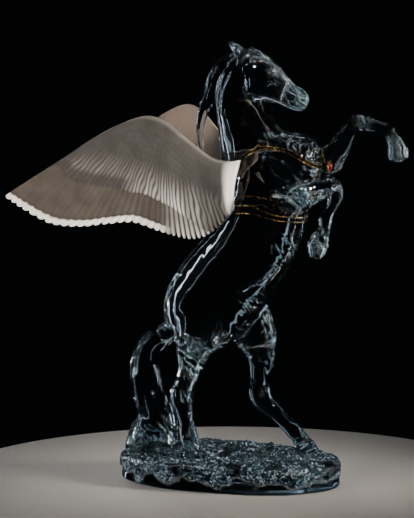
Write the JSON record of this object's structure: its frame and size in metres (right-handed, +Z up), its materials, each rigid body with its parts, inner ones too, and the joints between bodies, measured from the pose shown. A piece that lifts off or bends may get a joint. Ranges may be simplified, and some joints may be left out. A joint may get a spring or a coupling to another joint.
{
  "type": "pegasus statue",
  "caption": "Rearing winged horse in clear glass on a rough oval glass base, with satin glass wings and a gilt harness.",
  "frame": {"origin": "middle of the base's flat underside", "axes": "+Z up, +X the way the horse faces, +Y the horse's left side"},
  "size_m": [0.5012, 0.3584, 0.6029],
  "materials": {
    "clear_glass": "clear polished glass",
    "rough_glass": "clear glass with a chipped, ice-like surface",
    "satin_glass": "satin etched glass with feather relief",
    "gilt_metal": "polished gilt",
    "red_glass": "polished red cabochon"
  },
  "bodies": {
    "root": {"horse": "clear_glass", "base": "rough_glass", "right_wing": "satin_glass", "left_wing": "satin_glass", "breast_strap": "gilt_metal", "chest_strap": "gilt_metal", "front_girth_cord": "gilt_metal", "rear_girth_cord": "gilt_metal", "medallion": "gilt_metal", "red_stone": "red_glass"}
  },
  "joints": []
}
